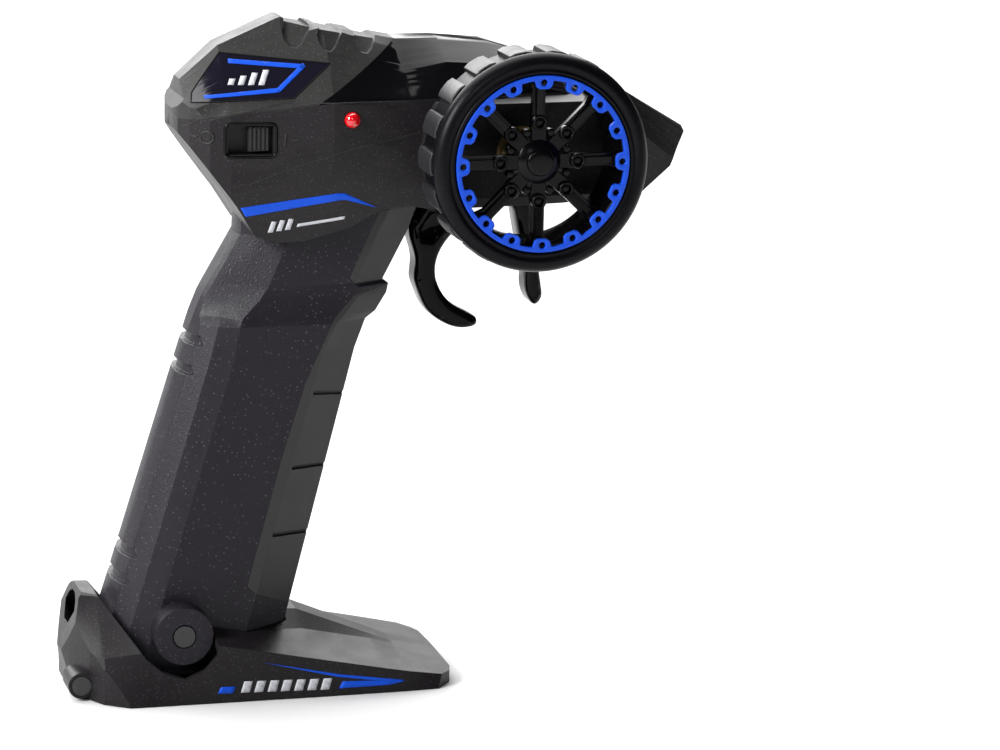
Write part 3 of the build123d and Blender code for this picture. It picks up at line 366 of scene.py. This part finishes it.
def patch(name, outline, finish):
    """A thin printed layer that lies on the right-hand surface, from an (x, z) outline in mm."""
    work = bmesh.new()
    ring = [work.verts.new((x * MM, 0, z * MM)) for x, z in outline]
    work.faces.new(ring)
    bmesh.ops.triangulate(work, faces=work.faces)
    for _ in range(6):
        long = [e for e in work.edges if e.calc_length() > PRINT_CELL * MM]
        if not long:
            break
        bmesh.ops.subdivide_edges(work, edges=long, cuts=1)
        bmesh.ops.triangulate(work, faces=work.faces)
    last = None
    for vert in work.verts:
        spot = on_side(vert.co.x / MM, vert.co.z / MM, PRINT_LIFT)
        if spot is not None:
            last = spot.y
        vert.co.y = spot.y if spot is not None else (last or NO_SURFACE_Y)
    bmesh.ops.recalc_face_normals(work, faces=work.faces)
    mesh = bpy.data.meshes.new(name)
    work.to_mesh(mesh)
    work.free()
    made = piece(name, mesh, "housing", finish)
    thick = made.modifiers.new("Layer", "SOLIDIFY")
    thick.thickness = PRINT_LIFT * 1.5 * MM
    thick.offset = 0.0


def bead(name, route, radius, finish, sink, step=0.8, closed=False):
    """A raised round line along an (x, z) route on the right-hand surface. All lengths are in mm."""
    ends = list(route) + ([route[0]] if closed else [])
    points = []
    for (xa, za), (xb, zb) in zip(ends, ends[1:]):
        count = max(1, int(math.hypot(xb - xa, zb - za) / step))
        for i in range(count):
            t = i / count
            points.append(on_side(xa + (xb - xa) * t, za + (zb - za) * t, -sink))
    if not closed:
        points.append(on_side(*ends[-1], -sink))
    points = [p for p in points if p is not None]
    curve = bpy.data.curves.new(name, "CURVE")
    curve.dimensions = "3D"
    curve.bevel_depth = radius * MM
    curve.bevel_resolution = 4
    curve.use_fill_caps = True
    spline = curve.splines.new("POLY")
    spline.points.add(len(points) - 1)
    for target, spot in zip(spline.points, points):
        target.co = (*spot, 1.0)
    spline.use_cyclic_u = closed
    piece(name, curve, "housing", finish)


# ---- Wheel helpers: polar places about the steering axis ------------------------------------
wheel_low, wheel_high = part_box("tyre")
WHEEL_X = (wheel_low.x + wheel_high.x) / 2 / MM
WHEEL_Z = (wheel_low.z + wheel_high.z) / 2 / MM


def polar(radius, degrees, y, x=WHEEL_X, z=WHEEL_Z):
    """A point about an axis along Y, in metres, from mm and degrees."""
    a = math.radians(degrees)
    return Vector(((x + radius * math.cos(a)) * MM, y * MM, (z + radius * math.sin(a)) * MM))


def spin(work, profile, count, x=WHEEL_X, z=WHEEL_Z):
    """A turned form about an axis along Y, from a closed loop of (radius, y) points in mm."""
    rings = []
    for i in range(count):
        a = 360.0 * i / count
        rings.append([work.verts.new(polar(r, a, y, x, z)) for r, y in profile])
    for i in range(count):
        here, there = rings[i], rings[(i + 1) % count]
        for j in range(len(profile)):
            k = (j + 1) % len(profile)
            corners = [here[j], here[k], there[k], there[j]]
            if len({tuple(round(c, 7) for c in v.co) for v in corners}) >= 3:
                work.faces.new(corners)
    bmesh.ops.remove_doubles(work, verts=[v for r in rings for v in r], dist=1e-6)


def prism(work, outline, y_fronts, y_back):
    """A form from an outline of points in metres, with a y in mm for each front point and one y for
    the flat back."""
    fronts = [work.verts.new((p.x, y * MM, p.z)) for p, y in zip(outline, y_fronts)]
    backs = [work.verts.new((p.x, y_back * MM, p.z)) for p in outline]
    work.faces.new(fronts)
    work.faces.new(list(reversed(backs)))
    for i in range(len(outline)):
        j = (i + 1) % len(outline)
        work.faces.new([fronts[i], backs[i], backs[j], fronts[j]])


def finish_mesh(work, name):
    """The mesh of a finished bmesh, with outward faces."""
    bmesh.ops.recalc_face_normals(work, faces=work.faces)
    mesh = bpy.data.meshes.new(name)
    work.to_mesh(mesh)
    work.free()
    return mesh


# ---- Housing shells, door and trigger -------------------------------------------------------
TRIGGER_ROLL = 1.8
TRIGGER_PIVOT_EDGE = 0.126  # in metres: the lever is rolled below this height

for node, width, angle in (
    ("head_shell_right", 0.25, 14), ("head_shell_left", 0.25, 14), ("top_cover", 0.2, 20),
    ("bridge_cover", 0.4, 24), ("badge_panel_right", 0.18, 30), ("badge_panel_left", 0.18, 30),
    ("grip_shell_right", 0.3, 20), ("grip_shell_left", 0.3, 20),
    ("grip_front_cover", 0.25, 20), ("neck_front_cover", 0.3, 20),
    ("base_shell_right", 0.25, 12), ("base_shell_left", 0.25, 12),
    ("base_plate", 0.3, 40),
):
    refined(node, "housing", width, 3, angle, faceted=node != "bridge_cover")
refined("battery_door", "battery_door", 0.3, 3, 40)
trigger_skin = refined("trigger", "trigger", 0, finish="trigger_gloss", faceted=False)
roll_edges(trigger_skin.data, TRIGGER_ROLL, TRIGGER_PIVOT_EDGE)


# ---- Tyre -----------------------------------------------------------------------------------
tyre = bmesh.new()
spin(tyre, [
    (22.42, -31.1), (22.42, -49.3), (22.5, -49.9), (22.8, -50.2), (23.2, -50.3),
    (23.5, -50.15), (23.65, -49.85), (23.9, -49.8), (24.15, -50.05), (24.7, -50.35),
    (25.5, -50.3), (26.3, -49.95), (27.0, -49.3), (27.5, -48.5), (27.75, -47.6),
    (27.65, -46.9), (27.2, -46.45), (26.5, -46.3), (26.4, -45.6), (26.4, -33.4), (26.1, -32.0),
    (25.2, -31.1),
], 144)
tyre_piece = piece("tyre_carcass", finish_mesh(tyre, "tyre_carcass"), "wheel", "tyre_rubber")
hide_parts("tyre")

LUGS = 18
LUG_HALF_WIDE = 2.9
LUG_MID_R = 27.2
LUG_FOOT_R = 26.2
LUG_EDGE_DROP = 0.35
LUG_STEPS = 4
# Along the lug, its y, the radius of its top and how many degrees narrower it is on each side
LUG_SECTIONS = ((-45.5, 27.75, 0.12), (-45.1, 27.98, 0.0), (-33.4, 27.98, 0.0), (-32.7, 27.5, 0.2))
lugs = bmesh.new()
for i in range(LUGS):
    centre = 360.0 * i / LUGS
    half = math.degrees(LUG_HALF_WIDE / LUG_MID_R)
    arcs = []
    for y, top, trim in LUG_SECTIONS:
        row = []
        for k in range(LUG_STEPS + 1):
            a = centre - half + trim + (2 * half - 2 * trim) * k / LUG_STEPS
            edge = LUG_EDGE_DROP if k in (0, LUG_STEPS) else 0.0
            row.append(lugs.verts.new(polar(top - edge, a, y)))
        foot = [lugs.verts.new(polar(LUG_FOOT_R, centre + s * (half + 0.25), y)) for s in (1, -1)]
        arcs.append(row + foot)
    for front, back in zip(arcs, arcs[1:]):
        for k in range(len(front)):
            j = (k + 1) % len(front)
            lugs.faces.new([front[k], front[j], back[j], back[k]])
    lugs.faces.new(arcs[0])
    lugs.faces.new(list(reversed(arcs[-1])))
# The lugs take the lighter lug_rubber, a painted highlight for their lit tops.
lug_piece = piece("tyre_lugs", finish_mesh(lugs, "tyre_lugs"), "wheel", "lug_rubber")
bevel(lug_piece, 0.22, 3, 35)


# ---- Wheel rim ------------------------------------------------------------------------------
rim = bmesh.new()
spin(rim, [
    (22.38, -31.5), (22.38, -48.9), (21.6, -49.15), (21.0, -49.1), (20.8, -48.6), (20.5, -46.0),
    (20.3, -42.0), (20.5, -36.0), (20.9, -32.2), (21.4, -31.5),
], 128)
SPOKES = 8
BOLT_CIRCLE_R = 10.0
PAD_CIRCLE_R = 7.9
BORE_R = 20.9
for i in range(SPOKES):
    a = 360.0 * i / SPOKES
    flare = [polar(5.0, a - 20, 0), polar(9.0, a - 12.5, 0), polar(12.0, a - 8.2, 0),
             polar(18.2, a - 5.2, 0), polar(BORE_R, a - 7.4, 0), polar(BORE_R, a + 7.4, 0),
             polar(18.2, a + 5.2, 0), polar(12.0, a + 8.2, 0), polar(9.0, a + 12.5, 0),
             polar(5.0, a + 20, 0)]
    prism(rim, flare, [-46.2, -45.9, -45.6, -45.6, -45.9, -45.9, -45.6, -45.6, -45.9, -46.2], -43.6)
    ridge = [polar(11.2, a - 4.4, 0), polar(18.6, a - 2.5, 0), polar(19.8, a - 3.8, 0),
             polar(BORE_R, a - 4.6, 0), polar(BORE_R, a + 4.6, 0), polar(19.8, a + 3.8, 0),
             polar(18.6, a + 2.5, 0), polar(11.2, a + 4.4, 0)]
    prism(rim, ridge, [-46.6, -46.9, -47.2, -47.4, -47.4, -47.2, -46.9, -46.6], -45.2)
    seat = polar(BOLT_CIRCLE_R, a, 0)
    spin(rim, [(2.0, -45.4), (1.95, -46.8), (1.75, -47.1), (1.45, -47.15), (1.2, -46.9),
               (1.2, -45.4)], 24, seat.x / MM, seat.z / MM)
    spin(rim, [(0.0, -46.3), (0.85, -46.3), (0.95, -46.1), (0.95, -45.2), (0.0, -45.2)],
         16, seat.x / MM, seat.z / MM)
    pad_angle = a + 180.0 / SPOKES
    pad = polar(PAD_CIRCLE_R, pad_angle, 0)
    spin(rim, [(0.0, -46.2), (0.7, -46.2), (0.95, -46.0), (1.0, -45.6), (1.0, -43.8), (0.0, -43.8)],
         16, pad.x / MM, pad.z / MM)
    arm = [polar(4.8, pad_angle - 6, 0), polar(PAD_CIRCLE_R, pad_angle - 4.5, 0),
           polar(PAD_CIRCLE_R, pad_angle + 4.5, 0), polar(4.8, pad_angle + 6, 0)]
    prism(rim, arm, [-46.6, -45.3, -45.3, -46.6], -43.8)
spin(rim, [(3.0, -47.4), (3.7, -47.4), (4.1, -47.1), (5.4, -46.4), (6.0, -45.6), (6.2, -43.8),
           (5.6, -43.2), (5.5, -31.2), (3.0, -31.2)], 64)
rim_piece = piece("rim_casting", finish_mesh(rim, "rim_casting"), "wheel", "rim_black")
bevel(rim_piece, 0.14, 2, 35)
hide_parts("wheel_rim")

cap = bmesh.new()
spin(cap, [(0.0, -48.35), (1.6, -48.3), (2.7, -48.22), (3.1, -48.1), (3.4, -47.8), (3.5, -47.4),
           (3.5, -47.0), (3.05, -46.9), (3.0, -45.4), (0.0, -45.4)], 64)
cap_piece = piece("centre_cap_dome", finish_mesh(cap, "centre_cap_dome"), "wheel", "rim_black")
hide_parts("centre_cap")
refined("bead_ring", "wheel", 0.16, 2, 40)


# ---- Prints on the right-hand side ----------------------------------------------------------
def stroke(xa, za, xb, zb, wide_a, wide_b):
    """The outline of a straight line with its own width at each end."""
    dx, dz = xb - xa, zb - za
    size = math.hypot(dx, dz)
    nx, nz = -dz / size, dx / size
    half_a, half_b = wide_a / 2, wide_b / 2
    return [(xa + nx * half_a, za + nz * half_a), (xb + nx * half_b, zb + nz * half_b),
            (xb - nx * half_b, zb - nz * half_b), (xa - nx * half_a, za - nz * half_a)]


def slant(x, z, wide, high, lean):
    """A slanting bar standing on (x, z)."""
    return [(x, z), (x + wide, z), (x + wide + lean, z + high), (x + lean, z + high)]


BADGE_LINES = (
    ("badge_line_top", stroke(-10.6, 163.6, 7.6, 162.5, 1.0, 1.0)),
    ("badge_line_front", stroke(7.9, 162.9, 0.6, 156.9, 1.0, 1.0)),
    ("badge_line_low", stroke(0.9, 157.0, -17.6, 155.2, 1.0, 0.7)),
)
BADGE_BAR_HEIGHTS = (1.4, 2.1, 2.8, 3.5)
SIDE_STRIPE = [(-9.3, 127.2), (15.5, 130.4), (17.5, 130.3), (26.2, 126.1), (17.6, 128.6), (15.7, 128.5),
               (-7.9, 124.8)]
SIDE_RULE = [(5.4, 121.7), (17.6, 123.4), (17.9, 124.2), (5.7, 122.5)]
BASE_LINES = (
    ("base_bar", [(-17.4, 2.5), (-13.5, 2.4), (-12.7, 4.1), (-16.6, 4.2)]),
    ("base_line_top", [(-5.1, 9.9), (14.8, 5.6), (31.9, 3.0), (31.9, 2.5), (25.0, 3.3), (14.6, 4.9)]),
    ("base_line_low", [(15.6, 3.7), (25.0, 3.3), (31.9, 2.6), (28.2, 2.0), (14.5, 1.9)]),
)

for name, line in BADGE_LINES:
    patch(name, line, "print_blue")
for i, high in enumerate(BADGE_BAR_HEIGHTS):
    patch(f"badge_bar_{i}", slant(-11.6 + 2.5 * i, 158.1, 1.5, high, high * 0.5), "print_white")

patch("side_stripe", SIDE_STRIPE, "print_blue")
for i in range(3):
    patch(f"side_bar_{i}", slant(-2.0 + 2.2 * i, 120.4 + 0.3 * i, 1.3, 2.9, 0.9), "print_white")
patch("side_rule", SIDE_RULE, "print_white")

for name, line in BASE_LINES:
    patch(name, line, "print_blue")
for i in range(7):
    patch(f"base_tick_{i}", slant(-11.4 + 3.5 * i, 2.4 - 0.09 * i, 2.3, 2.9, 0.9), "print_white")


# ---- Raised switch marks: a ring for off and a bar for on -----------------------------------
def circle(x, z, radius, count=28):
    """An (x, z) route round a circle."""
    turns = [2 * math.pi * i / count for i in range(count)]
    return [(x + radius * math.cos(a), z + radius * math.sin(a)) for a in turns]


MARK_R = 0.30
MARK_SINK = 0.05
bead("mark_off_ring", circle(-17.6, 145.4, 1.5), MARK_R, "cover_black", MARK_SINK, step=0.3,
     closed=True)
for mark, route in (
    ("mark_off_rule", [(-20.9, 145.5), (-19.9, 145.5)]),
    ("mark_on_bar", [(1.6, 143.2), (1.9, 146.2)]),
    ("mark_on_rule", [(3.4, 144.7), (5.2, 144.7)]),
):
    bead(mark, route, MARK_R, "cover_black", MARK_SINK)


# ---- Lines on the head: creases, switch bezel and the painted shade of the badge gap --------
# The creases are raised beads in the lighter cover_black tone. They are partly real relief and partly a
# painted highlight along each crease.
bead("crease_upper", [(-22.8, 147.6), (-19.4, 150.1), (-9.6, 151.7), (10.6, 154.0), (31.0, 153.9)],
     0.16, "cover_black", 0.06)
bead("crease_lower", [(-7.1, 133.5), (5.5, 138.0), (18.1, 141.9), (36.9, 145.8)], 0.14,
     "cover_black", 0.08)


def rounded(x_low, z_low, x_high, z_high, radius):
    """An (x, z) route round a box with rounded corners."""
    route = []
    for x, z, start in ((x_high - radius, z_high - radius, 0), (x_low + radius, z_high - radius, 90),
                        (x_low + radius, z_low + radius, 180), (x_high - radius, z_low + radius, 270)):
        for step in range(5):
            a = math.radians(start + 22.5 * step)
            route.append((x + radius * math.cos(a), z + radius * math.sin(a)))
    return route


bead("switch_bezel", rounded(-13.3, 140.4, -0.5, 149.0, 1.4), 0.42, "rim_black", 0.10,
     step=0.5, closed=True)
# The badge gap is a near-black bead, painted shade for the dark gap round the badge panel.
bead("badge_gap", [(-20.9, 153.8), (-20.3, 155.9), (-12.4, 165.5), (14.4, 163.2), (4.3, 155.1)], 0.22,
     "painted_gap_shade", 0.10, closed=True)


# ---- Floor, light and camera ----------------------------------------------------------------
FLOOR_CORNERS = [(-9, -6, 0), (9, -6, 0), (9, 12, 0), (-9, 12, 0)]
FLOOR_GAP = 0.0001
WORLD_STRENGTH = 0.04
SUN_STRENGTH = 6.7
SUN_SPREAD = 80.0  # degrees
SUN_HEADING = (0.15, -0.75, -1.0)
# Each softbox: its name, where it hangs, what it faces, its width and height, and its power in watts
SOFTBOXES = (
    ("light_rear", (-0.85, -0.32, 0.62), (-0.02, 0.0, 0.10), 0.35, 0.45, 16.0),
    ("light_front", (-0.35, -1.20, 0.85), (0.0, 0.0, 0.10), 0.4, 0.25, 2.5),
    ("light_back", (-0.10, 1.70, 0.62), (0.0, 0.0, 0.10), 2.2, 0.55, 10.0),
)
AZIMUTH, ELEVATION, DISTANCE = math.radians(-12.0), math.radians(12.0), 1.10
AIM = Vector((0.0, 0.0, 0.090))
SENSOR, LENS = 36.0, 152.46  # mm
SHIFT_X, SHIFT_Y = 0.238, -0.039

floor_mesh = bpy.data.meshes.new("floor")
floor_mesh.from_pydata(FLOOR_CORNERS, [], [(0, 1, 2, 3)])
floor = bpy.data.objects.new("floor", floor_mesh)
bpy.context.scene.collection.objects.link(floor)
floor.location.z = cad_low.z - FLOOR_GAP
paint, paint_nodes, paint_links, paint_shader, paint_place = new_material("floor_pale")
cloudy = noise(paint_nodes, paint_links, paint_place, 3.0, 2.0)
paint_links.new(mix_colour(paint_nodes, paint_links, cloudy, (0.60, 0.60, 0.60), (0.62, 0.62, 0.62)),
                paint_shader.inputs["Base Color"])
paint_shader.inputs["Roughness"].default_value = 0.9
paint_shader.inputs["Specular IOR Level"].default_value = 0.1
floor_mesh.materials.append(paint)

world = bpy.data.worlds.new("studio")
bpy.context.scene.world = world
world.use_nodes = True
world.node_tree.nodes["Background"].inputs["Color"].default_value = (1.0, 1.0, 1.0, 1.0)
world.node_tree.nodes["Background"].inputs["Strength"].default_value = WORLD_STRENGTH


def softbox(name, where, target, wide, high, power):
    """A soft rectangular light that faces the target."""
    lamp = bpy.data.lights.new(name, "AREA")
    lamp.shape = "RECTANGLE"
    lamp.size = wide
    lamp.size_y = high
    lamp.energy = power
    made = bpy.data.objects.new(name, lamp)
    bpy.context.scene.collection.objects.link(made)
    made.location = where
    made.rotation_euler = (Vector(target) - Vector(where)).to_track_quat("-Z", "Y").to_euler()


sun = bpy.data.lights.new("sky_light", "SUN")
sun.energy = SUN_STRENGTH
sun.angle = math.radians(SUN_SPREAD)
sky_light = bpy.data.objects.new("sky_light", sun)
bpy.context.scene.collection.objects.link(sky_light)
sky_light.rotation_euler = Vector(SUN_HEADING).to_track_quat("-Z", "Y").to_euler()
for box in SOFTBOXES:
    softbox(*box)

back = Vector((math.sin(AZIMUTH) * math.cos(ELEVATION), -math.cos(AZIMUTH) * math.cos(ELEVATION),
               math.sin(ELEVATION)))
camera_data = bpy.data.cameras.new("camera")
camera_data.sensor_width = SENSOR
camera_data.lens = LENS
camera_data.shift_x = SHIFT_X
camera_data.shift_y = SHIFT_Y
camera = bpy.data.objects.new("camera", camera_data)
bpy.context.scene.collection.objects.link(camera)
camera.location = AIM + back * DISTANCE
camera.rotation_euler = (-back).to_track_quat("-Z", "Y").to_euler()
bpy.context.scene.camera = camera
bpy.context.scene.view_settings.view_transform = "Standard"
